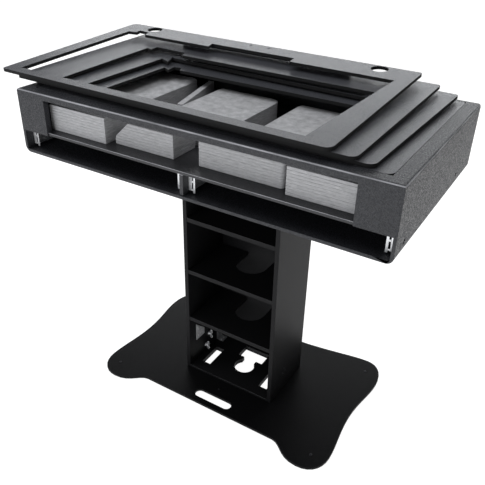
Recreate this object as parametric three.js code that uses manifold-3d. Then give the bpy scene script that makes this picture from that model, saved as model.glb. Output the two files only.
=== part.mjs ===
// A control-desk podium: a wide shallow casing on an open shelf column and a flat base plate.
// Four interchangeable faceplates lie on top of the casing, stepped to the left and propped at the
// rear. Millimetres, +Z up, front towards -Y.
import * as THREE from 'three';
import { mergeVertices } from 'three/addons/utils/BufferGeometryUtils.js';
import Module from 'manifold-3d';

const wasm = await Module();
wasm.setup();

// Driving dimensions. X is measured from the casing's centre, Y from its front face and Z from the
// top of the base plate, until the whole podium is centred at the end.
const GAP = 0.3;
// How far a cutting body runs past the faces it goes through.
const THROUGH = 1;
const CASING = { width: 1200, depth: 672, height: 200, bottom: 872, wall: 9 };
const CASING_TOP = CASING.bottom + CASING.height;
const HALF = CASING.width / 2;
const CORNER = { bottom: 20, top: 8, plan: 20 };
const RIM = { thick: 20, front: 37, side: 43, rear: 16 };
const LEDGE = { thick: 9.4, reach: 22 };
const PLATE = { width: 1112, depth: 617, thick: 10, corners: [9, 22, 9, 22] };
const SHELF = { top: 952, thick: 9, front: 4 };
const CHEEK = { width: 98, thick: 18 };
const DIVIDER_THICK = 12;
const COLUMN = { half: 183.5, front: 247, back: 481, board: 15, rearBoard: 12 };
const COLUMN_SHELVES = { upper: 651, middle: 444, lower: 239 };
const SHELF_NOTCH = { radius: 57, front: 343 };
const BASE = { thick: 9, half: 470, front: 57, frontMiddle: 110, back: 651, backMiddle: 607 };
const FEET = { radius: 20, height: 6, sides: 20, x: 410, frontY: 118, rearY: 590 };
const SLIDE = { height: 45, depth: 12, length: 500, front: 40, centre: 912 };
const SLIDE_SHEET = 1.5;

// Colours, roughness and metalness of each finish.
const FINISH = {
  textured: { color: 0x2b2c2e, roughness: 0.62, metalness: 0 },
  laminate: { color: 0x3a3b3d, roughness: 0.42, metalness: 0 },
  board: { color: 0x1d1d1f, roughness: 0.6, metalness: 0 },
  baseBoard: { color: 0x141415, roughness: 0.5, metalness: 0 },
  foam: { color: 0x9a9a9c, roughness: 0.95, metalness: 0 },
  zinc: { color: 0xc4c7c9, roughness: 0.28, metalness: 1 },
  rubber: { color: 0x0d0d0d, roughness: 0.9, metalness: 0 },
};

const podium = new THREE.Group();

function addPart(name, geometry, finish, parent = podium) {
  const mesh = new THREE.Mesh(geometry, new THREE.MeshStandardMaterial(FINISH[finish]));
  mesh.name = name;
  parent.add(mesh);
  return mesh;
}

// Booleans.
function toSolid(geometry) {
  const bare = geometry.index ? geometry.toNonIndexed() : geometry.clone();
  bare.deleteAttribute('normal');
  bare.deleteAttribute('uv');
  const merged = mergeVertices(bare, 1e-4);
  return new wasm.Manifold(new wasm.Mesh({
    numProp: 3,
    vertProperties: new Float32Array(merged.attributes.position.array),
    triVerts: new Uint32Array(merged.index.array),
  }));
}

function toGeometry(solid) {
  const mesh = solid.getMesh();
  const geometry = new THREE.BufferGeometry();
  geometry.setAttribute('position', new THREE.BufferAttribute(new Float32Array(mesh.vertProperties), 3));
  geometry.setIndex(new THREE.BufferAttribute(new Uint32Array(mesh.triVerts), 1));
  return geometry;
}

const join = (...parts) => toGeometry(parts.map(toSolid).reduce((a, b) => a.add(b)));
const cut = (body, ...tools) => toGeometry(
  tools.map(toSolid).reduce((a, b) => a.subtract(b), toSolid(body)));
const common = (a, b) => toGeometry(toSolid(a).intersect(toSolid(b)));

// Basic shapes, each given by its lowest and highest corners or its outline.
function block(low, high) {
  const size = high.map((value, axis) => value - low[axis]);
  const geometry = new THREE.BoxGeometry(...size);
  return geometry.translate(...low.map((value, axis) => value + size[axis] / 2));
}

function mirrored(geometry) {
  const copy = geometry.clone().scale(-1, 1, 1);
  const index = copy.index ? copy : mergeVertices(copy);
  const order = index.index.array;
  for (let i = 0; i < order.length; i += 3) [order[i], order[i + 1]] = [order[i + 1], order[i]];
  return index;
}

// A flat outline in X and Y, raised from zLow to zHigh.
function slab(outline, zLow, zHigh, curveSegments = 8) {
  const settings = { depth: zHigh - zLow, bevelEnabled: false, curveSegments };
  return new THREE.ExtrudeGeometry(outline, settings).translate(0, 0, zLow);
}

// A flat outline in X and Z, drawn along Y from yLow to yHigh.
function bar(outline, yLow, yHigh, curveSegments = 6) {
  const settings = { depth: yHigh - yLow, bevelEnabled: false, curveSegments };
  return new THREE.ExtrudeGeometry(outline, settings).rotateX(Math.PI / 2).translate(0, yHigh, 0);
}

function polygon(points) {
  return new THREE.Shape(points.map(([x, y]) => new THREE.Vector2(x, y)));
}

function roundedRect(left, low, right, high, radii) {
  const [leftLow, rightLow, rightHigh, leftHigh] = Array.isArray(radii) ? radii : Array(4).fill(radii);
  const shape = new THREE.Shape();
  shape.moveTo(left + leftLow, low);
  shape.lineTo(right - rightLow, low);
  shape.absarc(right - rightLow, low + rightLow, rightLow, -Math.PI / 2, 0, false);
  shape.lineTo(right, high - rightHigh);
  shape.absarc(right - rightHigh, high - rightHigh, rightHigh, 0, Math.PI / 2, false);
  shape.lineTo(left + leftHigh, high);
  shape.absarc(left + leftHigh, high - leftHigh, leftHigh, Math.PI / 2, Math.PI, false);
  shape.lineTo(left, low + leftLow);
  shape.absarc(left + leftLow, low + leftLow, leftLow, Math.PI, Math.PI * 1.5, false);
  return shape;
}

function disc(radius, low, high, sides, x = 0, y = 0) {
  const geometry = new THREE.CylinderGeometry(radius, radius, high - low, sides).rotateX(Math.PI / 2);
  return geometry.translate(x, y, (low + high) / 2);
}

// Casing: separate boards, all trimmed to one rounded envelope.
const frontOutline = roundedRect(
  -HALF, CASING.bottom, HALF, CASING_TOP,
  [CORNER.bottom, CORNER.bottom, CORNER.top, CORNER.top],
);
const planOutline = roundedRect(-HALF, 0, HALF, CASING.depth, [2, 2, CORNER.plan, CORNER.plan]);
const envelope = common(
  bar(frontOutline, 0, CASING.depth),
  slab(planOutline, CASING.bottom, CASING_TOP, 6),
);
const inTheEnvelope = (low, high) => common(envelope, block(low, high));

function buildCasing() {
  const { wall, depth, bottom } = CASING;
  const inner = HALF - wall;
  const floorTop = bottom + wall;
  const rimLow = CASING_TOP - RIM.thick;
  const back = depth - wall;
  addPart('casing_bottom_panel', inTheEnvelope(
    [-inner + GAP, 0, bottom], [inner - GAP, back - GAP, floorTop]), 'textured');
  addPart('casing_left_side', inTheEnvelope(
    [-HALF, 0, bottom], [-inner, back - GAP, rimLow - GAP]), 'textured');
  addPart('casing_right_side', inTheEnvelope(
    [inner, 0, bottom], [HALF, back - GAP, rimLow - GAP]), 'textured');
  addPart('casing_back_panel', inTheEnvelope(
    [-HALF, back, bottom], [HALF, depth, rimLow - GAP]), 'textured');

  const rimIn = HALF - RIM.side;
  addPart('top_front_rail', inTheEnvelope(
    [-HALF, 0, rimLow], [HALF, RIM.front, CASING_TOP]), 'textured');
  addPart('top_rear_rail', inTheEnvelope(
    [-HALF, depth - RIM.rear, rimLow], [HALF, depth, CASING_TOP]), 'textured');
  const railFront = RIM.front + GAP;
  const railBack = depth - RIM.rear - GAP;
  addPart('top_left_rail', inTheEnvelope(
    [-HALF, railFront, rimLow], [-rimIn, railBack, CASING_TOP]), 'textured');
  addPart('top_right_rail', inTheEnvelope(
    [rimIn, railFront, rimLow], [HALF, railBack, CASING_TOP]), 'textured');

  // The lowest faceplate lies on this ledge, flush with the rim.
  const ledgeTop = rimLow + LEDGE.thick;
  const ledgeX = rimIn - GAP;
  const { reach } = LEDGE;
  addPart('plate_ledge', cut(
    block([-ledgeX, railFront, rimLow], [ledgeX, railBack, ledgeTop]),
    block(
      [-ledgeX + reach, railFront + reach, rimLow - THROUGH],
      [ledgeX - reach, railBack - reach, ledgeTop + THROUGH]),
  ), 'board');

  const shelfLow = SHELF.top - SHELF.thick;
  addPart('mid_shelf', block(
    [-inner + GAP, SHELF.front, shelfLow], [inner - GAP, back - GAP, SHELF.top]), 'board');
  addPart('drawer_divider', block(
    [-DIVIDER_THICK / 2, SHELF.front, floorTop + GAP],
    [DIVIDER_THICK / 2, back - GAP, shelfLow - GAP]), 'board');
  const cheekIn = inner - CHEEK.width;
  const cheek = (left, right) => block(
    [left, 0, SHELF.top + GAP], [right, CHEEK.thick, rimLow - GAP]);
  addPart('left_cheek', cheek(-inner + GAP, -cheekIn), 'textured');
  addPart('right_cheek', cheek(cheekIn, inner - GAP), 'textured');
}

// Grey foam supports in the upper bay. The second one in front has its left end sloped off.
const FOAM_TOP = 1030;
const FOAM_BLOCKS = {
  foam_block_1: { low: [-508, 34, SHELF.top], high: [-290, 512, FOAM_TOP] },
  foam_block_3: { low: [19, 60, SHELF.top], high: [278, 165, FOAM_TOP] },
  foam_block_4: { low: [295, 38, SHELF.top], high: [480, 165, FOAM_TOP] },
  foam_block_5: { low: [-178, 175, SHELF.top], high: [44, 472, FOAM_TOP] },
  foam_block_6: { low: [113, 175, SHELF.top], high: [330, 470, FOAM_TOP] },
};
const PLANK = { x: -221, y: 390, length: 264, thick: 20, turn: 13 };
const WEDGE = { left: -272, right: -63, front: 56, back: 160, top: 1022, endTop: 975, slope: 50 };

function buildFoam() {
  for (const [name, { low, high }] of Object.entries(FOAM_BLOCKS)) {
    const lifted = [low[0], low[1], low[2] + GAP];
    addPart(name, block(lifted, high), 'foam');
  }
  const outline = polygon([
    [WEDGE.left, SHELF.top + GAP], [WEDGE.right, SHELF.top + GAP], [WEDGE.right, WEDGE.top],
    [WEDGE.left + WEDGE.slope, WEDGE.top], [WEDGE.left, WEDGE.endTop],
  ]);
  addPart('foam_block_2', bar(outline, WEDGE.front, WEDGE.back), 'foam');
  const plank = block(
    [-PLANK.thick / 2, -PLANK.length / 2, SHELF.top + GAP],
    [PLANK.thick / 2, PLANK.length / 2, FOAM_TOP]);
  plank.rotateZ(THREE.MathUtils.degToRad(PLANK.turn)).translate(PLANK.x, PLANK.y, 0);
  addPart('foam_plank', plank, 'foam');
}

// Drawer slides: a fixed channel, a ball cage and a sliding channel on each of four walls. The
// section is drawn against a wall at t = 0, open towards +t, then turned to face either way.
const OUTER_HALF = SLIDE.height / 2;
const MOVING = { web: 5, half: 17, shorter: 20, setback: 4 };
const CAGE = { web: 3, lip: 10, half: 19.4, sheet: 0.8, setback: 150 };
const BALL = { radius: 1.75, t: 8.2, height: 19, count: 6, pitch: 34 };

function channel(tWeb, tLip, half, sheet) {
  return polygon([
    [tWeb, -half], [tLip, -half], [tLip, -half + sheet], [tWeb + sheet, -half + sheet],
    [tWeb + sheet, half - sheet], [tLip, half - sheet], [tLip, half], [tWeb, half],
  ]);
}

function ballCage() {
  const length = BALL.count * BALL.pitch;
  const strip = bar(channel(CAGE.web, CAGE.lip, CAGE.half, CAGE.sheet), 0, length);
  const balls = [];
  for (const side of [-1, 1]) {
    for (let i = 0; i < BALL.count; i += 1) {
      const ball = new THREE.IcosahedronGeometry(BALL.radius, 0);
      balls.push(ball.translate(BALL.t, BALL.pitch * (i + 0.5), side * BALL.height));
    }
  }
  return join(strip, ...balls);
}

const SLIDE_WALLS = [
  { name: 'slide_1', wall: -(HALF - CASING.wall), sign: 1 },
  { name: 'slide_2', wall: -DIVIDER_THICK / 2, sign: -1 },
  { name: 'slide_3', wall: DIVIDER_THICK / 2, sign: 1 },
  { name: 'slide_4', wall: HALF - CASING.wall, sign: -1 },
];

function buildSlides() {
  const fixed = bar(channel(GAP, SLIDE.depth, OUTER_HALF, SLIDE_SHEET), 0, SLIDE.length);
  const moving = bar(
    channel(MOVING.web, SLIDE.depth, MOVING.half, SLIDE_SHEET), 0, SLIDE.length - MOVING.shorter);
  const cage = ballCage();
  for (const { name, wall, sign } of SLIDE_WALLS) {
    const place = (geometry, y) => {
      const turned = sign > 0 ? geometry.clone() : mirrored(geometry);
      return turned.translate(wall, y, SLIDE.centre);
    };
    addPart(`${name}_fixed_channel`, place(fixed, SLIDE.front), 'zinc');
    addPart(`${name}_ball_cage`, place(cage, SLIDE.front + CAGE.setback), 'zinc');
    addPart(`${name}_moving_channel`, place(moving, SLIDE.front + MOVING.setback), 'zinc');
  }
}

// Faceplates. Each is a laminate board with one cut-out for a desk unit. The outline is drawn with
// its front edge at y = 0 and its middle at x = 0; the board then sits at its own place and tilt.
const PLATE_CUTS = {
  faceplate_1: [
    [-385, 34], [385, 34], [385, 400], [-322, 400], [-338, 428], [-363, 420], [-357, 383], [-385, 398],
  ],
  faceplate_2: [
    [-388, 34], [388, 34], [388, 431], [-366, 431], [-376, 438], [-353, 385], [-392, 400],
  ],
  faceplate_3: [
    [-418, 34], [425, 34], [425, 447], [-268, 447], [-279, 476], [-403, 480], [-402, 446], [-424, 454],
  ],
  faceplate_4: [
    [-508, 34], [474, 34], [509, 510], [168, 510], [163, 546], [-152, 546], [-145, 514],
    [-423, 516], [-430, 545], [-475, 550], [-470, 527], [-503, 521],
  ],
};
const PLATE_PLACES = {
  faceplate_1: { right: 556, front: 38.5, lift: 0, yaw: 0, pitch: 0 },
  faceplate_2: { right: 510.5, front: 39.7, lift: 11.4, yaw: -2, pitch: 0.66 },
  faceplate_3: { right: 469, front: 30.5, lift: 22.8, yaw: -0.8, pitch: 1.6 },
  faceplate_4: { right: 411, front: 21, lift: 34.2, yaw: -0.95, pitch: 3.24 },
};
const CABLE_HOLE = { radius: 27, x: 434, y: 586, sides: 20 };
// Spacer battens prop up the rear of the upper three boards. Each lies on the board below it.
const BATTEN = { length: 640, depth: 16, y: 580, clear: 1.5 };

function buildPlates() {
  const half = PLATE.width / 2;
  for (const [name, place] of Object.entries(PLATE_PLACES)) {
    const outline = roundedRect(-half, 0, half, PLATE.depth, PLATE.corners);
    outline.holes.push(new THREE.Path(PLATE_CUTS[name].map(([x, y]) => new THREE.Vector2(x, y))));
    let board = slab(outline, -PLATE.thick, 0, 5);
    if (name === 'faceplate_4') {
      const holes = [-1, 1].map((side) => disc(
        CABLE_HOLE.radius, -PLATE.thick - THROUGH, THROUGH, CABLE_HOLE.sides,
        side * CABLE_HOLE.x, CABLE_HOLE.y));
      board = cut(board, ...holes);
    }
    const seat = new THREE.Group();
    seat.position.set(place.right, place.front, CASING_TOP + place.lift);
    seat.rotation.set(
      THREE.MathUtils.degToRad(place.pitch), 0, THREE.MathUtils.degToRad(place.yaw), 'ZXY');
    podium.add(seat);
    const mesh = addPart(name, board, 'laminate', seat);
    mesh.position.x = -half;
  }
  addBattens();
}

// The gap between two boards at the battens' distance from the front, from their lifts and tilts.
function addBattens() {
  const places = Object.values(PLATE_PLACES);
  const rise = ({ lift, pitch }) => lift + BATTEN.y * Math.tan(THREE.MathUtils.degToRad(pitch));
  for (let i = 1; i < places.length; i += 1) {
    const lower = places[i - 1];
    const slope = Math.tan(THREE.MathUtils.degToRad(lower.pitch)) * BATTEN.depth;
    const low = rise(lower) + slope + BATTEN.clear;
    const high = rise(places[i]) - PLATE.thick - BATTEN.clear;
    const middleX = (lower.right + places[i].right) / 2 - PLATE.width / 2;
    const front = Math.max(lower.front, places[i].front) + BATTEN.y;
    addPart(`spacer_batten_${i}`, block(
      [middleX - BATTEN.length / 2, front, CASING_TOP + low],
      [middleX + BATTEN.length / 2, front + BATTEN.depth, CASING_TOP + high]), 'board');
  }
}

// Column: open at the front, with three shelves and a floor that share a cable passage.
function buildColumn() {
  const { half, front, back, board, rearBoard } = COLUMN;
  const inner = half - board;
  const top = CASING.bottom - GAP;
  addPart('column_left_side', block([-half, front, GAP], [-inner, back, top]), 'board');
  addPart('column_right_side', block([inner, front, GAP], [half, back, top]), 'board');
  const rear = back - rearBoard;
  addPart('column_back_panel', block(
    [-inner + GAP, rear, GAP], [inner - GAP, back, top]), 'board');
  const notch = new THREE.Shape();
  notch.moveTo(SHELF_NOTCH.radius, back);
  notch.lineTo(SHELF_NOTCH.radius, SHELF_NOTCH.front + SHELF_NOTCH.radius);
  notch.absarc(0, SHELF_NOTCH.front + SHELF_NOTCH.radius, SHELF_NOTCH.radius, 0, Math.PI, true);
  notch.lineTo(-SHELF_NOTCH.radius, back);
  for (const [level, height] of Object.entries(COLUMN_SHELVES)) {
    const plain = block(
      [-inner + GAP, front + 1, height - board], [inner - GAP, rear - GAP, height]);
    const shelf = level === 'upper' ? plain : cut(
      plain, slab(notch, height - board - THROUGH, height + THROUGH));
    addPart(`column_${level}_shelf`, shelf, 'board');
  }
  addPart('column_floor', cut(
    block([-inner + GAP, front, GAP], [inner - GAP, rear - GAP, BASE.thick]),
    ...floorOpenings(GAP - THROUGH, BASE.thick + THROUGH)), 'board');
}

// The openings that go through the column's floor and the base plate together.
const FLOOR_SLOT = { x: 125, half: 17, front: 291, back: 389 };
const KEYHOLE = {
  x: 8, y: 355, radius: 38, sides: 28, barHalf: 52, barFront: 398, barBack: 456, neck: 26,
};

function floorOpenings(zLow, zHigh) {
  const slots = [-1, 1].map((side) => block(
    [side * FLOOR_SLOT.x - FLOOR_SLOT.half, FLOOR_SLOT.front, zLow],
    [side * FLOOR_SLOT.x + FLOOR_SLOT.half, FLOOR_SLOT.back, zHigh]));
  const { x, y, radius, sides, barHalf, barFront, barBack, neck } = KEYHOLE;
  const round = disc(radius, zLow, zHigh, sides, x, y);
  const neckCut = block([x - neck, y, zLow], [x + neck, barBack - THROUGH, zHigh]);
  const rearBar = block([x - barHalf, barFront, zLow], [x + barHalf, barBack, zHigh]);
  return [...slots, join(round, neckCut, rearBar)];
}

// Base plate: four round lobes, straight front, waisted sides and a hand slot.
const HAND_SLOT = { half: 75, front: 133, back: 170, radius: 18 };

function baseOutline() {
  const shape = new THREE.Shape();
  const side = (s, forward) => {
    const steps = [
      ['lineTo', 268, BASE.frontMiddle],
      ['bezierCurveTo', 305, 108, 316, BASE.front, 385, BASE.front],
      ['bezierCurveTo', 437, BASE.front, 466, 92, 466, 145],
      ['bezierCurveTo', 466, 205, 449, 262, 449, 345],
      ['bezierCurveTo', 449, 428, BASE.half, 480, BASE.half, 545],
      ['bezierCurveTo', BASE.half, 612, 440, BASE.back, 396, BASE.back],
      ['bezierCurveTo', 320, BASE.back, 210, BASE.backMiddle, 0, BASE.backMiddle],
    ];
    if (forward) {
      for (const [method, ...v] of steps) shape[method](...v.map((n, i) => (i % 2 ? n : s * n)));
      return;
    }
    const points = [[0, BASE.frontMiddle], ...steps.map((step) => step.slice(-2))];
    for (let i = steps.length - 1; i >= 0; i -= 1) {
      const [, ...v] = steps[i];
      const controls = v.length > 2 ? [v[2], v[3], v[0], v[1]] : [];
      const target = [...controls, ...points[i]];
      shape[controls.length ? 'bezierCurveTo' : 'lineTo'](...target.map((n, j) => (j % 2 ? n : s * n)));
    }
  };
  shape.moveTo(0, BASE.frontMiddle);
  side(1, true);
  side(-1, false);
  return shape;
}

function buildBase() {
  const slot = roundedRect(
    -HAND_SLOT.half, HAND_SLOT.front, HAND_SLOT.half, HAND_SLOT.back, HAND_SLOT.radius);
  const spots = [];
  for (const x of [-FEET.x, FEET.x]) {
    for (const y of [FEET.frontY, FEET.rearY]) spots.push([x, y]);
  }
  const under = -BASE.thick - THROUGH;
  const plate = cut(
    slab(baseOutline(), -BASE.thick, 0, 7),
    slab(slot, under, THROUGH, 5),
    ...floorOpenings(under, THROUGH));
  addPart('base_plate', plate, 'baseBoard');
  const footTop = -BASE.thick - GAP;
  spots.forEach(([x, y], i) => {
    const foot = disc(FEET.radius, footTop - FEET.height, footTop, FEET.sides, x, y);
    addPart(`rubber_foot_${i + 1}`, foot, 'rubber');
  });
}

// Knock-down fittings in the column's lowest bay: a folded angle bracket in each rear corner, a
// gusset plate on each side board, and two wing bolts through the left side board.
const BRACKET = { leg: 30, sheet: 2.5, height: 60, depth: 34, y: 428 };
const GUSSET = [[287, 104], [338, 104], [338, 132], [287, 178]];
const GUSSET_THICK = 2.5;
const WING = { boss: 6.5, foot: 8, reach: 12, radius: 8, spread: 12, thick: 3, sides: 18 };
const WING_BOLTS = [{ y: 372, z: 80 }, { y: 350, z: 38 }];

function angleBracket() {
  const profile = polygon([
    [0, 0], [BRACKET.leg, 0], [BRACKET.leg, BRACKET.sheet], [BRACKET.sheet, BRACKET.sheet],
    [BRACKET.sheet, BRACKET.height], [0, BRACKET.height],
  ]);
  return bar(profile, 0, BRACKET.depth);
}

function gusset() {
  const plate = slab(polygon(GUSSET), 0, GUSSET_THICK);
  return plate.rotateZ(Math.PI / 2).rotateY(Math.PI / 2);
}

// The bolt's axis is X: a tapered boss against the board and two round wings above and below it.
function wingBolt() {
  const boss = new THREE.CylinderGeometry(WING.boss, WING.foot, WING.reach, WING.sides);
  boss.rotateZ(-Math.PI / 2).translate(WING.reach / 2, 0, 0);
  const wings = [-1, 1].map((side) => {
    const wing = new THREE.CylinderGeometry(WING.radius, WING.radius, WING.thick, WING.sides);
    return wing.translate(WING.reach, 0, side * WING.spread);
  });
  return join(boss, ...wings);
}

function buildFittings() {
  const inner = COLUMN.half - COLUMN.board;
  const bracket = angleBracket().translate(-inner + GAP, BRACKET.y, BASE.thick + GAP);
  addPart('left_angle_bracket', bracket, 'zinc');
  addPart('right_angle_bracket', mirrored(bracket), 'zinc');
  const plate = gusset().translate(-inner + GAP, 0, 0);
  addPart('left_gusset_plate', plate, 'zinc');
  addPart('right_gusset_plate', mirrored(plate), 'zinc');
  WING_BOLTS.forEach(({ y, z }, i) => {
    addPart(`wing_bolt_${i + 1}`, wingBolt().translate(-inner + GAP, y, z), 'zinc');
  });
}

buildCasing();
buildFoam();
buildSlides();
buildPlates();
buildColumn();
buildBase();
buildFittings();

// The origin is the middle of the podium's box, on the floor.
podium.updateMatrixWorld(true);
const bounds = new THREE.Box3().setFromObject(podium, true);
const middle = bounds.getCenter(new THREE.Vector3());
podium.position.set(-middle.x, -middle.y, -bounds.min.z);
podium.updateMatrixWorld(true);

export default podium;
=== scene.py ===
import math
import random

import bmesh
import bpy
from mathutils import Matrix, Vector, noise


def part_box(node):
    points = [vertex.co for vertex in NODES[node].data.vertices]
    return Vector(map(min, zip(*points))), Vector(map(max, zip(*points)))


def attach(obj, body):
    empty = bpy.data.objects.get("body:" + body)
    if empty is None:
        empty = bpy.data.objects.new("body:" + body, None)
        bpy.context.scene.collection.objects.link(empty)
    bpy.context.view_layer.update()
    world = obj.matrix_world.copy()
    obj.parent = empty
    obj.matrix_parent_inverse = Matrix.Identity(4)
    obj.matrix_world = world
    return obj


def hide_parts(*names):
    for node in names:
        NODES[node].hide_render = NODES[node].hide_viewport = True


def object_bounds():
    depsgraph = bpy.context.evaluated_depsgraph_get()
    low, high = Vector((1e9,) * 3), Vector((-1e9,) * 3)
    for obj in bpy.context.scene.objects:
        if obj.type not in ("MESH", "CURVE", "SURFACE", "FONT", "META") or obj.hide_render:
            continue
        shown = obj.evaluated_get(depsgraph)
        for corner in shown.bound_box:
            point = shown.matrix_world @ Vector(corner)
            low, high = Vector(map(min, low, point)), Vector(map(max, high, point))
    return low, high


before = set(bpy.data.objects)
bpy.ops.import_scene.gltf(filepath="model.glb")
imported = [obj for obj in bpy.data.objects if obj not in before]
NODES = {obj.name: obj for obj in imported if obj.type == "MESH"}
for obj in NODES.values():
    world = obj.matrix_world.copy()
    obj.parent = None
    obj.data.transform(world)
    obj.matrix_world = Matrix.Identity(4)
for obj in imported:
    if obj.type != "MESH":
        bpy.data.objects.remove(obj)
cad_low, cad_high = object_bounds()

MM = 0.001
random.seed(7)

# Podium millimetres, as in the CAD source: X from the casing's centre, Y from its front face and
# Z from the top of the base plate. The casing's bottom panel says where that is in the frame.
CASING_BOTTOM = 872
panel_low, panel_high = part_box("casing_bottom_panel")
ORIGIN = Vector((
    (panel_low.x + panel_high.x) / 2, panel_low.y, panel_low.z - CASING_BOTTOM * MM))


def at(x, y, z):
    return ORIGIN + Vector((x, y, z)) * MM


# ---------------------------------------------------------------- materials
def new_material(name):
    material = bpy.data.materials.new(name)
    material.use_nodes = True
    tree = material.node_tree
    return material, tree, tree.nodes["Principled BSDF"]


def node(tree, kind, **values):
    made = tree.nodes.new(kind)
    for key, value in values.items():
        if key in made.inputs:
            made.inputs[key].default_value = value
        else:
            setattr(made, key, value)
    return made


def object_coords(tree, scale=(1, 1, 1)):
    coords = node(tree, "ShaderNodeTexCoord")
    mapping = node(tree, "ShaderNodeMapping", Scale=scale)
    tree.links.new(coords.outputs["Object"], mapping.inputs["Vector"])
    return mapping.outputs["Vector"]


def noise_at(tree, vector, scale, detail=3.0, roughness=0.5):
    made = node(tree, "ShaderNodeTexNoise", Scale=scale, Detail=detail, Roughness=roughness)
    tree.links.new(vector, made.inputs["Vector"])
    return made.outputs["Fac"]


def ramp(tree, factor, stops):
    made = node(tree, "ShaderNodeValToRGB")
    elements = made.color_ramp.elements
    while len(elements) < len(stops):
        elements.new(0.5)
    for element, (position, value) in zip(elements, stops):
        element.position = position
        color = value if isinstance(value, tuple) else (value, value, value)
        element.color = (*color, 1)
    tree.links.new(factor, made.inputs["Fac"])
    return made.outputs["Color"]


def mixed(tree, factor, a, b, kind="MIX"):
    made = node(tree, "ShaderNodeMix", data_type="RGBA", blend_type=kind)
    for socket, value in ((made.inputs[0], factor), (made.inputs[6], a), (made.inputs[7], b)):
        if isinstance(value, bpy.types.NodeSocket):
            tree.links.new(value, socket)
        else:
            socket.default_value = value
    return made.outputs[2]


def bump(tree, height, strength, distance):
    made = node(tree, "ShaderNodeBump", Strength=strength, Distance=distance)
    tree.links.new(height, made.inputs["Height"])
    return made.outputs["Normal"]


def coating(name, tint, grain, depth, rough, specular, strength=0.55, raw_edge=False, arris_highlight=None):
    """A pebbled or grained black finish: small bumps of a depth in metres, with a little variation
    in colour and roughness. raw_edge darkens the faces that stand upright, where the board's core
    shows. The arris tint is a painted highlight: a paler colour on the rounded arrises that look
    upwards, where light from above catches them, made patchy by a broad noise."""
    material, tree, shader = new_material(name)
    vector = object_coords(tree)
    cells = node(tree, "ShaderNodeTexVoronoi", feature="SMOOTH_F1", Scale=grain, Smoothness=0.6)
    tree.links.new(vector, cells.inputs["Vector"])
    fine = noise_at(tree, vector, grain * 1.7, 4, 0.6)
    broad = noise_at(tree, vector, 9, 3)
    pebbles = ramp(tree, cells.outputs["Distance"], [(0.0, 1.0), (0.75, 0.0)])
    height = mixed(tree, 0.4, pebbles, fine)
    low = tuple(c * 0.62 for c in tint)
    high = tuple(c * 1.45 for c in tint)
    speckle = ramp(tree, height, [(0.25, low), (0.75, high)])
    patch = ramp(tree, broad, [(0.3, 0.86), (0.7, 1.0)])
    color = mixed(tree, 1.0, speckle, patch, "MULTIPLY")
    facing = node(tree, "ShaderNodeSeparateXYZ")
    tree.links.new(node(tree, "ShaderNodeNewGeometry").outputs["Normal"], facing.inputs[0])
    glint = noise_at(tree, vector, grain * 0.8, 2, 0.5)
    matt = ramp(tree, glint, [(0.36, rough - 0.2), (0.64, rough + 0.2)])
    if raw_edge:
        flat = ramp(tree, facing.outputs["Z"], [(0.55, 0.0), (0.95, 1.0)])
        color = mixed(tree, flat, (0.004, 0.004, 0.0045, 1), color)
        matt = mixed(tree, flat, (0.95, 0.95, 0.95, 1), matt)
    # Painted highlight: the upward-looking arrises get a paler tint, patchy by broad noise, in
    # place of light catching those edges.
    if arris_highlight:
        arris = ramp(tree, facing.outputs["Z"], [(0.3, 0.0), (0.45, 1.0), (0.72, 1.0), (0.88, 0.0)])
        uneven = ramp(tree, broad, [(0.35, 0.45), (0.65, 1.0)])
        color = mixed(tree, mixed(tree, 1.0, arris, uneven, "MULTIPLY"), color, (*arris_highlight, 1))
    tree.links.new(color, shader.inputs["Base Color"])
    tree.links.new(matt, shader.inputs["Roughness"])
    tree.links.new(bump(tree, height, strength, depth), shader.inputs["Normal"])
    shader.inputs["Specular IOR Level"].default_value = specular
    return material


def foam_material():
    """Laminated grey polyethylene foam: fine cells and thin horizontal streaks."""
    material, tree, shader = new_material("grey_foam")
    vector = object_coords(tree)
    stretched = object_coords(tree, (45, 45, 480))
    cells = node(tree, "ShaderNodeTexVoronoi", Scale=620)
    tree.links.new(vector, cells.inputs["Vector"])
    streaks = noise_at(tree, stretched, 1.0, 4, 0.65)
    blotch = noise_at(tree, vector, 120, 4)
    tone = ramp(tree, streaks, [(0.3, (0.33, 0.33, 0.34)), (0.68, (0.54, 0.54, 0.555))])
    shade = ramp(tree, blotch, [(0.3, 0.94), (0.7, 1.0)])
    speck = ramp(tree, cells.outputs["Distance"], [(0.0, 0.82), (0.5, 1.0)])
    color = mixed(tree, 1.0, mixed(tree, 1.0, tone, shade, "MULTIPLY"), speck, "MULTIPLY")
    tree.links.new(color, shader.inputs["Base Color"])
    tree.links.new(
        ramp(tree, blotch, [(0.3, 0.85), (0.7, 0.95)]), shader.inputs["Roughness"])
    height = mixed(tree, 0.5, cells.outputs["Distance"], streaks)
    tree.links.new(bump(tree, height, 0.6, 0.0008), shader.inputs["Normal"])
    shader.inputs["Specular IOR Level"].default_value = 0.2
    return material


def metal_material(name, tint, rough, scratch, metallic=1.0):
    """Plated sheet steel with a brushed grain and slight cloudiness."""
    material, tree, shader = new_material(name)
    brushed = object_coords(tree, (900, 30, 900))
    cloud = noise_at(tree, object_coords(tree), 60, 3)
    grain = noise_at(tree, brushed, 1.0, 3, 0.6)
    dark = tuple(c * 0.72 for c in tint)
    tree.links.new(ramp(tree, cloud, [(0.3, dark), (0.7, tint)]), shader.inputs["Base Color"])
    tree.links.new(
        ramp(tree, grain, [(0.3, rough - 0.07), (0.7, rough + 0.1)]), shader.inputs["Roughness"])
    tree.links.new(bump(tree, grain, scratch, 0.0002), shader.inputs["Normal"])
    shader.inputs["Metallic"].default_value = metallic
    return material


# The arris tints given below are painted highlights: a paler colour on each finish's upward-looking
# rounded edges, where light from above catches them.
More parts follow.
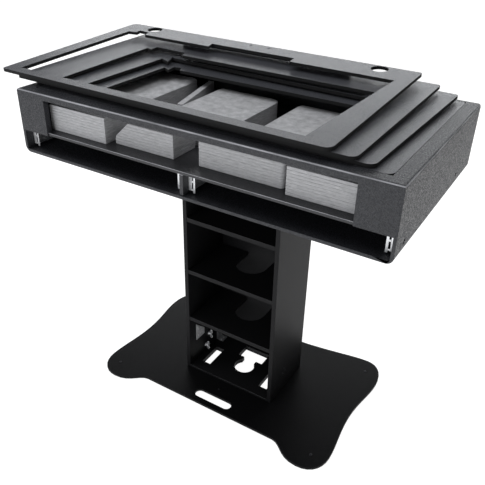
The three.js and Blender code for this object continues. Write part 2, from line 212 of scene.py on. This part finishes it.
MATERIALS = {
    "textured_shell": coating(
        "textured_shell", (0.021, 0.0222, 0.0275), grain=330, depth=0.0016, rough=0.5,
        specular=0.44, strength=0.9, arris_highlight=(0.36, 0.36, 0.385)),
    "faceplate_laminate": coating(
        "faceplate_laminate", (0.06, 0.062, 0.071), grain=620, depth=0.0006, rough=0.46,
        specular=0.46, strength=0.6, raw_edge=True, arris_highlight=(0.17, 0.172, 0.18)),
    "black_board": coating(
        "black_board", (0.011, 0.011, 0.012), grain=700, depth=0.0003, rough=0.55,
        specular=0.14, arris_highlight=(0.12, 0.12, 0.125)),
    "bay_board": coating(
        "bay_board", (0.045, 0.0455, 0.05), grain=700, depth=0.0003, rough=0.42,
        specular=0.3, arris_highlight=(0.62, 0.62, 0.65)),
    "base_board": coating(
        "base_board", (0.006, 0.006, 0.0066), grain=800, depth=0.00025, rough=0.45,
        specular=0.07),
    "foot_rubber": coating(
        "foot_rubber", (0.012, 0.012, 0.012), grain=500, depth=0.0004, rough=0.8,
        specular=0.3),
    "grey_foam": foam_material(),
    "zinc_steel": metal_material(
        "zinc_steel", (0.86, 0.87, 0.89), rough=0.4, scratch=0.35, metallic=0.7),
    "black_screw": metal_material("black_screw", (0.06, 0.06, 0.065), rough=0.42, scratch=0.2),
}
# Which CAD nodes take each finish, by the start of their names.
SLOTS = {
    "textured_shell": ("casing_", "top_", "left_cheek", "right_cheek"),
    "faceplate_laminate": ("faceplate_",),
    "black_board": ("column_", "mid_shelf", "drawer_divider", "plate_ledge", "spacer_batten"),
    "base_board": ("base_plate",),
    "grey_foam": ("foam_",),
    "zinc_steel": ("slide_", "left_angle", "right_angle", "left_gusset", "right_gusset", "wing_"),
    "foot_rubber": ("rubber_foot",),
}
# How far the nodes' edges are rounded, in millimetres.
EDGES = {
    "textured_shell": 1.6, "faceplate_laminate": 1.1, "black_board": 0.9, "base_board": 1.3,
    "zinc_steel": 0.3, "foot_rubber": 0.8, "grey_foam": 1.5,
}
# The bay's shelf and divider are rounded wider and take the bay_board finish, whose pale arris tint
# is a painted highlight along their front edges.
BAY_NODES = ("mid_shelf", "drawer_divider")
BAY_EDGE = 2.0


# ---------------------------------------------------------------- mesh helpers
def round_edges(obj, width, segments=2, limit=35, smooth=True):
    """Rounded edges by modifier, with flat faces kept flat."""
    for polygon in obj.data.polygons:
        polygon.use_smooth = smooth and max(abs(c) for c in polygon.normal) < 0.999
    weld = obj.modifiers.new("weld", "WELD")
    weld.merge_threshold = 1e-6
    bevel = obj.modifiers.new("edges", "BEVEL")
    bevel.width = width * MM
    bevel.segments = segments
    bevel.limit_method = "ANGLE"
    bevel.angle_limit = math.radians(limit)
    bevel.harden_normals = True


def finish_piece(name, bm, slot_name, body="stand", material=None, smooth=True):
    """A bmesh in frame metres becomes a named piece with its material, riding on a body."""
    bmesh.ops.recalc_face_normals(bm, faces=bm.faces)
    mesh = bpy.data.meshes.new(name)
    bm.to_mesh(mesh)
    bm.free()
    obj = bpy.data.objects.new(name, mesh)
    bpy.context.scene.collection.objects.link(obj)
    obj.data.materials.append(MATERIALS[material or slot_name])
    if smooth:
        mesh.polygons.foreach_set("use_smooth", [True] * len(mesh.polygons))
    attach(obj, body)
    return obj


def baked(obj):
    """The object's mesh with its modifiers applied."""
    graph = bpy.context.evaluated_depsgraph_get()
    return bpy.data.meshes.new_from_object(obj.evaluated_get(graph))


def loose(bm, name="tool"):
    """A bmesh as an object that is not a piece yet."""
    mesh = bpy.data.meshes.new(name)
    bm.to_mesh(mesh)
    bm.free()
    obj = bpy.data.objects.new(name, mesh)
    bpy.context.scene.collection.objects.link(obj)
    return obj


def boolean(base, tool, operation="DIFFERENCE"):
    """Cuts the base with the tool, or keeps what they share, and removes the tool."""
    modifier = base.modifiers.new("cut", "BOOLEAN")
    modifier.operation = operation
    modifier.solver = "EXACT"
    modifier.object = tool
    mesh = baked(base)
    base.modifiers.clear()
    base.data = mesh
    bpy.data.objects.remove(tool)


def box_mesh(low, high):
    bm = bmesh.new()
    bmesh.ops.create_cube(bm, size=1)
    a, b = at(*low), at(*high)
    for vert in bm.verts:
        vert.co = Vector(
            a[i] + (b[i] - a[i]) * (vert.co[i] + 0.5) for i in range(3))
    return bm


def prism(points, low, high, axis):
    """An outline in podium millimetres, raised along one axis: 0 for YZ outlines, 1 for XZ and
    2 for XY."""
    bm = bmesh.new()
    rings = []
    for level in (low, high):
        ring = []
        for p, q in points:
            place = ((level, p, q), (p, level, q), (p, q, level))[axis]
            ring.append(bm.verts.new(at(*place)))
        rings.append(ring)
    bm.faces.new(rings[0])
    bm.faces.new(list(reversed(rings[1])))
    count = len(points)
    for i in range(count):
        j = (i + 1) % count
        bm.faces.new((rings[0][i], rings[1][i], rings[1][j], rings[0][j]))
    bmesh.ops.recalc_face_normals(bm, faces=bm.faces)
    return bm


def rounded_outline(left, low, right, high, radii, steps=8):
    """Corner radii run from the low left corner, anticlockwise."""
    corners = [
        (left, low, 180, radii[0], 1, 1), (right, low, 270, radii[1], -1, 1),
        (right, high, 0, radii[2], -1, -1), (left, high, 90, radii[3], 1, -1)]
    points = []
    for x, y, start, radius, sx, sy in corners:
        if radius <= 0:
            points.append((x, y))
            continue
        cx, cy = x + sx * radius, y + sy * radius
        for i in range(steps + 1):
            angle = math.radians(start + 90 * i / steps)
            points.append((cx + radius * math.cos(angle), cy + radius * math.sin(angle)))
    return points


def lathe(profile, sides, place, axis):
    """A profile of (radius, height) pairs turned about an axis that starts at a podium point."""
    bm = bmesh.new()
    rings = []
    for radius, height in profile:
        if radius <= 0:
            rings.append([bm.verts.new((0, 0, height * MM))])
            continue
        rings.append([
            bm.verts.new((
                radius * MM * math.cos(math.tau * i / sides),
                radius * MM * math.sin(math.tau * i / sides), height * MM))
            for i in range(sides)])
    for a, b in zip(rings, rings[1:]):
        for i in range(sides):
            j = (i + 1) % sides
            if len(a) == 1:
                bm.faces.new((a[0], b[i], b[j]))
            elif len(b) == 1:
                bm.faces.new((a[i], b[0], a[j]))
            else:
                bm.faces.new((a[i], b[i], b[j], a[j]))
    spin = Vector((0, 0, 1)).rotation_difference(Vector(axis).normalized()).to_matrix().to_4x4()
    bmesh.ops.transform(bm, matrix=Matrix.Translation(at(*place)) @ spin, verts=bm.verts)
    return bm


def joined(parts):
    """Several bmeshes as one."""
    bm = bmesh.new()
    for part in parts:
        mesh = bpy.data.meshes.new("part")
        part.to_mesh(mesh)
        part.free()
        bm.from_mesh(mesh)
        bpy.data.meshes.remove(mesh)
    return bm


# ---------------------------------------------------------------- CAD nodes that stay
def dress_nodes():
    for slot_name, starts in SLOTS.items():
        for name, obj in NODES.items():
            if not name.startswith(starts):
                continue
            bay = name in BAY_NODES
            obj.data.materials.clear()
            obj.data.materials.append(MATERIALS["bay_board" if bay else slot_name])
            round_edges(
                obj, BAY_EDGE if bay else EDGES[slot_name], 3 if bay else 2,
                smooth=slot_name == "foot_rubber")


# ---------------------------------------------------------------- casing
HALF = 600
DEPTH = 672
TOP = 1072
WALL = 9
RIM_LOW = 1052
SHELF_LOW = 943
SHELF_TOP = 952
SHELF_FRONT = 3.7
CHEEK_IN = 493
CHEEK_BACK = 18
OPENING = {"x": 557, "front": 37, "back": 656}
INNER = HALF - WALL
# Corner radii of the three outlines, from the low left corner, anticlockwise.
FRONT_RADII = (20, 20, 8, 8)
PLAN_RADII = (0, 0, 20, 20)
SIDE_RADII = (0, 0, 3, 7)
SKIN_BEVEL = 2.2
PAST = 5  # how far a tool reaches past the surface it cuts
LAP = 1  # how far one cavity reaches into the next
SIDE_BOLTS = [(62, 907), (500, 912)]  # Y and Z
BOLT_RECESS = {"radius": 7, "depth": 6, "out": 2, "inset": 1.5, "sides": 28}


def bolt_recess(side, y, z):
    """The tool that sinks a round recess into one side of the casing."""
    radius, depth, out = (BOLT_RECESS[key] for key in ("radius", "depth", "out"))
    bm = lathe(
        [(0, -depth), (radius, -depth), (radius, out), (0, out)], BOLT_RECESS["sides"],
        (side * (HALF - BOLT_RECESS["inset"]), y, z), (side, 0, 0))
    bmesh.ops.recalc_face_normals(bm, faces=bm.faces)
    return bm


def build_casing_shell():
    """The coated casing as one rounded skin, where the boards' joints don't show."""
    front = rounded_outline(-HALF, CASING_BOTTOM, HALF, TOP, FRONT_RADII)
    plan = rounded_outline(-HALF, 0, HALF, DEPTH, PLAN_RADII)
    side_view = rounded_outline(0, CASING_BOTTOM, DEPTH, TOP, SIDE_RADII, 6)
    shell = loose(prism(front, 0, DEPTH, 1), "casing_shell")
    boolean(shell, loose(prism(plan, CASING_BOTTOM - PAST, TOP + PAST, 2)), "INTERSECT")
    boolean(shell, loose(prism(side_view, -HALF - PAST, HALF + PAST, 0)), "INTERSECT")
    floor_top = CASING_BOTTOM + WALL
    cavities = [
        ((-INNER, CHEEK_BACK, floor_top), (INNER, DEPTH - WALL, RIM_LOW)),
        ((-INNER, -PAST, floor_top), (INNER, CHEEK_BACK + LAP, SHELF_LOW)),
        ((-CHEEK_IN, -PAST, SHELF_LOW - LAP), (CHEEK_IN, CHEEK_BACK + LAP, RIM_LOW)),
        ((-INNER, SHELF_FRONT, SHELF_LOW - LAP), (INNER, CHEEK_BACK + LAP, SHELF_TOP)),
        ((-OPENING["x"], OPENING["front"], RIM_LOW - LAP),
         (OPENING["x"], OPENING["back"], TOP + PAST)),
    ]
    for low, high in cavities:
        boolean(shell, loose(box_mesh(low, high)))
    for side in (-1, 1):
        for y, z in SIDE_BOLTS:
            boolean(shell, loose(bolt_recess(side, y, z)))
    shell.data.materials.clear()
    shell.data.materials.append(MATERIALS["textured_shell"])
    round_edges(shell, SKIN_BEVEL, 3, 40)
    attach(shell, "stand")
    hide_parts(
        "casing_bottom_panel", "casing_left_side", "casing_right_side",
        "casing_back_panel", "top_front_rail", "top_rear_rail", "top_left_rail",
        "top_right_rail", "left_cheek", "right_cheek")


# ---------------------------------------------------------------- screws
FOOT_SCREWS = [(-410, 118), (410, 118), (-410, 590), (410, 590)]
BASE_FRONT_SCREW = (-9, 205)
COLUMN_SCREWS = [(340, 96), (352, 78), (334, 74)]  # Y and Z
COLUMN_HALF = 183.5
BOLT_SEAT = 5.5


def socket_screw(name, place, axis, head, height, slot_name, material=None):
    """A button head with a hexagonal socket. head is its radius."""
    socket = head * 0.42
    profile = [
        (head, -0.4), (head, height * 0.25), (head * 0.93, height * 0.62),
        (head * 0.76, height * 0.88), (head * 0.55, height), (socket * 1.15, height)]
    crown = lathe(profile, 24, place, axis)
    well = lathe(
        [(socket * 1.15, height), (socket, height), (socket, height * 0.3), (0, height * 0.2)],
        6, place, axis)
    finish_piece(name, joined([crown, well]), slot_name, material=material, smooth=False)


def black_screw(name, place, axis, head, height, slot_name):
    socket_screw(name, place, axis, head, height, slot_name, "black_screw")


def build_screws():
    for side, word in ((-1, "left"), (1, "right")):
        for i, (y, z) in enumerate(SIDE_BOLTS):
            black_screw(
                f"{word}_side_bolt_{i + 1}", (side * (HALF - BOLT_SEAT), y, z), (side, 0, 0),
                5.6, 3.2, "textured_shell")
    for i, (x, y) in enumerate(FOOT_SCREWS):
        black_screw(f"foot_screw_{i + 1}", (x, y, 0), (0, 0, 1), 5.2, 2.2, "base_board")
    black_screw("base_front_screw", (*BASE_FRONT_SCREW, 0), (0, 0, 1), 4.6, 1.8, "base_board")
    for side, word in ((-1, "left"), (1, "right")):
        for i, (y, z) in enumerate(COLUMN_SCREWS):
            black_screw(
                f"column_{word}_screw_{i + 1}", (side * COLUMN_HALF, y, z), (side, 0, 0),
                3.6, 1.6, "black_board")


# ---------------------------------------------------------------- foam
FOAM_SPACING = 12  # between points along a side
GROOVE = 1.1  # how deep a glue line sinks
UNEVEN = 0.3  # how far the sides wander


def foam_block(name, low, high, radii, layers, slope=None, turn=0.0):
    """A laminated block: a rounded plan outline drawn up in layers, with a groove at each glue
    line, a softened top edge and slightly uneven sides. slope = (end height, length) cuts its
    left end off at a slant."""
    outline = rounded_outline(low[0], low[1], high[0], high[1], radii, 4)
    middle = Vector(((low[0] + high[0]) / 2, (low[1] + high[1]) / 2, 0))
    spin = Matrix.Rotation(turn, 3, "Z")
    dense = []
    for i, (x, y) in enumerate(outline):
        x2, y2 = outline[(i + 1) % len(outline)]
        pieces = max(1, round(math.hypot(x2 - x, y2 - y) / FOAM_SPACING))
        dense += [(x + (x2 - x) * k / pieces, y + (y2 - y) * k / pieces) for k in range(pieces)]
    count = len(dense)
    normals = []
    for i in range(count):
        x0, y0 = dense[i - 1]
        x1, y1 = dense[(i + 1) % count]
        length = math.hypot(x1 - x0, y1 - y0)
        normals.append(((y1 - y0) / length, -(x1 - x0) / length))
    rings = [(low[2], 0.8), (low[2] + 0.8, 0.2)]
    step = (high[2] - low[2]) / layers
    for i in range(1, layers):
        z = low[2] + step * i
        shift = random.uniform(0.0, 0.5)
        rings += [
            (z - 0.7, shift), (z - 0.2, GROOVE), (z + 0.2, GROOVE), (z + 0.7, 0.5 - shift)]
    rings += [(high[2] - 0.8, 0.1), (high[2], 0.9)]
    seed = random.uniform(0, 50)
    bm = bmesh.new()
    made = []
    for z, inset in rings:
        ring = []
        for (x, y), (nx, ny) in zip(dense, normals):
            rough = UNEVEN * noise.noise(Vector((x * 0.035 + seed, y * 0.035, z * 0.06)))
            px, py = x - nx * (inset - rough), y - ny * (inset - rough)
            if slope:
                end = low[0] + max(0.0, z - slope[0]) / (high[2] - slope[0]) * slope[1]
                px = end + (px - low[0]) * (high[0] - end) / (high[0] - low[0])
            turned = middle + spin @ (Vector((px, py, 0)) - middle)
            ring.append(bm.verts.new(at(turned.x, turned.y, z)))
        made.append(ring)
    for a, b in zip(made, made[1:]):
        for i in range(count):
            j = (i + 1) % count
            bm.faces.new((a[i], a[j], b[j], b[i]))
    bm.faces.new(list(reversed(made[0])))
    bm.faces.new(made[-1])
    obj = finish_piece(f"{name}_foam", bm, "grey_foam")
    limit_smoothing(obj, 24)
    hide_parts(name)


def limit_smoothing(obj, degrees):
    """Edges sharper than this stay crisp."""
    bm = bmesh.new()
    bm.from_mesh(obj.data)
    for edge in bm.edges:
        if len(edge.link_faces) == 2 and edge.calc_face_angle(0) > math.radians(degrees):
            edge.smooth = False
    bm.to_mesh(obj.data)
    bm.free()


# Corner radii, number of layers, and the slope of the left end where there is one.
FOAM = {
    "foam_block_1": ((1.2, 1.2, 30, 1.2), 9, None),
    "foam_block_2": ((1.2, 1.2, 1.2, 1.2), 8, (975, 50)),
    "foam_block_3": ((1.2, 12, 1.2, 1.2), 9, None),
    "foam_block_4": ((1.2, 1.2, 1.2, 1.2), 9, None),
    "foam_block_5": ((1.2, 1.2, 32, 6), 9, None),
    "foam_block_6": ((1.2, 1.2, 6, 14), 9, None),
}
PLANK = {"x": -221, "y": 390, "length": 264, "thick": 20, "turn": 13}


def build_foam():
    for name, (radii, layers, slope) in FOAM.items():
        a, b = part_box(name)
        low = (a - ORIGIN) / MM
        high = (b - ORIGIN) / MM
        foam_block(name, low, high, radii, layers, slope)
    a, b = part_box("foam_plank")
    half = Vector((PLANK["thick"] / 2, PLANK["length"] / 2, 0))
    middle = Vector((PLANK["x"], PLANK["y"], 0))
    foam_block(
        "foam_plank", middle - half + Vector((0, 0, (a.z - ORIGIN.z) / MM)),
        middle + half + Vector((0, 0, (b.z - ORIGIN.z) / MM)), (1, 1, 1, 1), 2,
        turn=math.radians(PLANK["turn"]))


# ---------------------------------------------------------------- fittings in the lowest bay
BOSS = [(0, 0), (8, 0), (8, 1.2), (7.2, 2), (6.6, 9), (5.8, 12), (3.4, 13), (0, 13.2)]
# One wing's outline, along the bolt and away from its axis.
WING = {"middle": 11.5, "half": 6.5, "root": 6, "reach": 14, "steps": 20}
WING_FOOT = ((5, 4), (13, 4))
WING_CENTRE = (11, 10)
WING_SECTIONS = ((-1.5, 0.9), (-0.8, 1.0), (0.8, 1.0), (1.5, 0.9))
COLUMN_INNER = 168.2
GUSSET_SCREWS = [(300, 150), (300, 120), (325, 118)]  # Y and Z
BRACKET_SCREWS = (438, 452)


def wing_outline():
    points = []
    for i in range(WING["steps"]):
        angle = math.pi * (i / (WING["steps"] - 1))
        points.append((
            WING["middle"] - WING["half"] * math.cos(angle),
            WING["root"] + WING["reach"] * math.sin(angle) ** 0.8))
    return [WING_FOOT[0]] + points + [WING_FOOT[1]]


def wing_bolt(name, node_name, body):
    """A cast wing bolt along +X: a cone boss, two shaped wings and a domed end."""
    low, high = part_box(node_name)
    middle = ((low + high) / 2 - ORIGIN) / MM
    foot = (low.x - ORIGIN.x) / MM
    place = (foot, middle.y, middle.z)
    parts = [lathe(BOSS, 20, place, (1, 0, 0))]
    outline = wing_outline()
    centre_x, centre_z = WING_CENTRE
    for side in (-1, 1):
        bm = bmesh.new()
        rings = []
        for dy, shrink in WING_SECTIONS:
            ring = []
            for x, z in outline:
                px = centre_x + (x - centre_x) * shrink
                pz = centre_z + (z - centre_z) * shrink
                ring.append(bm.verts.new(at(foot + px, middle.y + dy, middle.z + side * pz)))
            rings.append(ring)
        for a, b in zip(rings, rings[1:]):
            for i in range(len(outline)):
                j = (i + 1) % len(outline)
                bm.faces.new((a[i], a[j], b[j], b[i]))
        bm.faces.new(rings[0])
        bm.faces.new(list(reversed(rings[-1])))
        bmesh.ops.recalc_face_normals(bm, faces=bm.faces)
        parts.append(bm)
    obj = finish_piece(name, joined(parts), "zinc_steel", body)
    limit_smoothing(obj, 40)
    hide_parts(node_name)


def build_fittings():
    wing_bolt("wing_1_casting", "wing_bolt_1", "wing_1")
    wing_bolt("wing_2_casting", "wing_bolt_2", "wing_2")
    for side, word in ((-1, "left"), (1, "right")):
        for i, (y, z) in enumerate(GUSSET_SCREWS):
            socket_screw(
                f"{word}_gusset_screw_{i + 1}", (side * (COLUMN_INNER - 2.6), y, z), (-side, 0, 0),
                3.4, 2.2, "zinc_steel")
        for i, y in enumerate(BRACKET_SCREWS):
            socket_screw(
                f"{word}_bracket_screw_{i + 1}", (side * (COLUMN_INNER - 18), y, 11.8), (0, 0, 1),
                3.4, 2.2, "zinc_steel")


# ---------------------------------------------------------------- drawer slides
DIVIDER_HALF = 6
# Each slide with the wall that it hangs on and the way that it faces.
SLIDE_WALLS = [
    ("slide_1", -INNER, 1), ("slide_2", -DIVIDER_HALF, -1), ("slide_3", DIVIDER_HALF, 1),
    ("slide_4", INNER, -1)]
SLIDE_Z = 912
# Boxes: from the wall, from the casing's front and from the slide's middle height, low and high.
FLANGE = [(0.5, 4.7, 28.4, 39.6, -22, 22)]
COVER_STRIP = (5.1, 11.4, 27.8, 39.2, -22, 22)
CHANNEL_END = (5.6, 10.9, 38.8, 43.4, -16.4, 16.4)
UPRIGHT_BAR = (16.6, 22.8, 27.2, 29.4, -27, 22)
LATCH_TAB = (11.0, 17.0, 27.0, 29.2, 3, 8.6)
LOWER_TAB = (11.0, 17.0, 28.0, 29.0, -21, -17)
FRONT_END = [COVER_STRIP, CHANNEL_END, UPRIGHT_BAR, LATCH_TAB, LOWER_TAB]
SHEET_BEVEL = 0.35


def pressed_steel(name, boxes, body):
    """Small sheet parts with softened edges, from their lowest and highest corners."""
    bm = joined([box_mesh(low, high) for low, high in boxes])
    bmesh.ops.bevel(
        bm, geom=bm.edges[:], offset=SHEET_BEVEL * MM, segments=2, affect="EDGES", profile=0.6)
    limit_smoothing(finish_piece(name, bm, "zinc_steel", body), 50)


def beside_wall(boxes, wall, sign):
    """The boxes' lowest and highest corners in podium millimetres."""
    corners = []
    for t_low, t_high, y_low, y_high, z_low, z_high in boxes:
        xs = sorted((wall + sign * t_low, wall + sign * t_high))
        corners.append((
            (xs[0], y_low, SLIDE_Z + z_low), (xs[1], y_high, SLIDE_Z + z_high)))
    return corners


def build_slide_details():
    """Front ends of the slides: a flange on each fixed channel, and on each sliding channel a
    cover strip, an upright bar beside the drawer and two tabs that join them."""
    for name, wall, sign in SLIDE_WALLS:
        pressed_steel(f"{name}_front_flange", beside_wall(FLANGE, wall, sign), "stand")
        pressed_steel(
            f"{name}_front_end", beside_wall(FRONT_END, wall, sign), f"{name}_channel")


# ---------------------------------------------------------------- faceplate marks
# Where the uppermost board lies, as in the CAD source, with its turn and tilt in degrees.
TOP_PLATE = {"right": 411, "front": 21, "z": 1106.2, "half": 556, "yaw": -0.95, "pitch": 3.24}
STUDS = [(-30, 599), (39, 600)]  # from the middle of the board's front edge
STUD_PROFILE = [(5.4, -0.3), (5.4, 0.35), (4.6, 0.8), (3.4, 0.7), (2.6, 0.15), (0, 0.1)]


def build_plate_studs():
    """Two small pressed studs in the rear border of the uppermost board."""
    spin = Matrix.Rotation(math.radians(TOP_PLATE["yaw"]), 3, "Z") @ Matrix.Rotation(
        math.radians(TOP_PLATE["pitch"]), 3, "X")
    seat = Vector((TOP_PLATE["right"], TOP_PLATE["front"], TOP_PLATE["z"]))
    axis = spin @ Vector((0, 0, 1))
    for i, (x, y) in enumerate(STUDS):
        place = seat + spin @ Vector((x - TOP_PLATE["half"], y, 0))
        stud = lathe(STUD_PROFILE, 24, tuple(place), tuple(axis))
        finish_piece(
            f"plate_stud_{i + 1}", stud, "faceplate_laminate", "plate_4", material="black_screw")


# ---------------------------------------------------------------- stage, light and camera
FLOOR_SIZE = 300
FLOOR_DROP = 0.0005
LIGHT_COLOR = (0.96, 0.98, 1.0)
WORLD_STRENGTH = 0.2
# Place, target, size and power of each light, in metres and watts.
LIGHTS = {
    "rear_softbox": ((-1.1, 3.3, 2.15), (0, 0.2, 1.1), (5.4, 1.8), 95),
    "front_left_softbox": ((-1.7, -0.9, 3.0), (0, 0, 1.0), (1.1, 1.1), 26),
    "overhead_softbox": ((0.2, 0.2, 3.4), (0, 0.1, 1.0), (2.0, 1.6), 20),
    "front_softbox": ((-0.6, -3.4, 1.3), (0, 0.1, 0.8), (2.2, 1.7), 44),
}


def build_stage():
    """A pale floor just under the feet, bright enough to read as white."""
    bm = bmesh.new()
    bmesh.ops.create_grid(bm, x_segments=2, y_segments=2, size=FLOOR_SIZE)
    floor = loose(bm, "floor")
    floor.location.z = cad_low.z - FLOOR_DROP
    material, _, shader = new_material("floor_white")
    shader.inputs["Base Color"].default_value = (0.3, 0.3, 0.3, 1)
    shader.inputs["Roughness"].default_value = 1.0
    shader.inputs["Specular IOR Level"].default_value = 0.0
    shader.inputs["Emission Color"].default_value = (1, 1, 1, 1)
    shader.inputs["Emission Strength"].default_value = 0.98
    floor.data.materials.append(material)


def area_light(name, place, target, size, power):
    data = bpy.data.lights.new(name, "AREA")
    data.shape = "RECTANGLE"
    data.size, data.size_y = size
    data.energy = power
    data.color = LIGHT_COLOR
    lamp = bpy.data.objects.new(name, data)
    lamp.location = place
    lamp.rotation_mode = "QUATERNION"
    lamp.rotation_quaternion = (Vector(target) - Vector(place)).to_track_quat("-Z", "Y")
    bpy.context.scene.collection.objects.link(lamp)


def build_lights():
    world = bpy.data.worlds.new("studio")
    world.use_nodes = True
    background = world.node_tree.nodes["Background"]
    background.inputs["Color"].default_value = (1, 1, 1, 1)
    background.inputs["Strength"].default_value = WORLD_STRENGTH
    bpy.context.scene.world = world
    for name, (place, target, size, power) in LIGHTS.items():
        area_light(name, place, target, size, power)
    bpy.context.scene.view_settings.view_transform = "Standard"


# The camera's place in podium millimetres, its angles in degrees and its lens in millimetres.
CAMERA = {
    "place": (913.14, -1187.63, 1629.05), "azimuth": 31.016, "elevation": 30.857,
    "roll": 1.445, "lens": 45.604,
}
SENSOR_WIDTH = 36


def build_camera():
    data = bpy.data.cameras.new("camera")
    data.sensor_width = SENSOR_WIDTH
    data.lens = CAMERA["lens"]
    camera = bpy.data.objects.new("camera", data)
    azimuth, elevation, roll = (
        math.radians(CAMERA[key]) for key in ("azimuth", "elevation", "roll"))
    back = Vector((
        math.sin(azimuth) * math.cos(elevation), -math.cos(azimuth) * math.cos(elevation),
        math.sin(elevation)))
    right = Vector((math.cos(azimuth), math.sin(azimuth), 0))
    up = back.cross(right)
    turned_right = right * math.cos(roll) + up * math.sin(roll)
    turned_up = up * math.cos(roll) - right * math.sin(roll)
    turn = Matrix((turned_right, turned_up, back)).transposed()
    camera.rotation_mode = "QUATERNION"
    camera.rotation_quaternion = turn.to_quaternion()
    camera.location = at(*CAMERA["place"])
    bpy.context.scene.collection.objects.link(camera)
    bpy.context.scene.camera = camera


build_camera()
dress_nodes()
build_casing_shell()
build_screws()
build_foam()
build_fittings()
build_slide_details()
build_plate_studs()
build_stage()
build_lights()
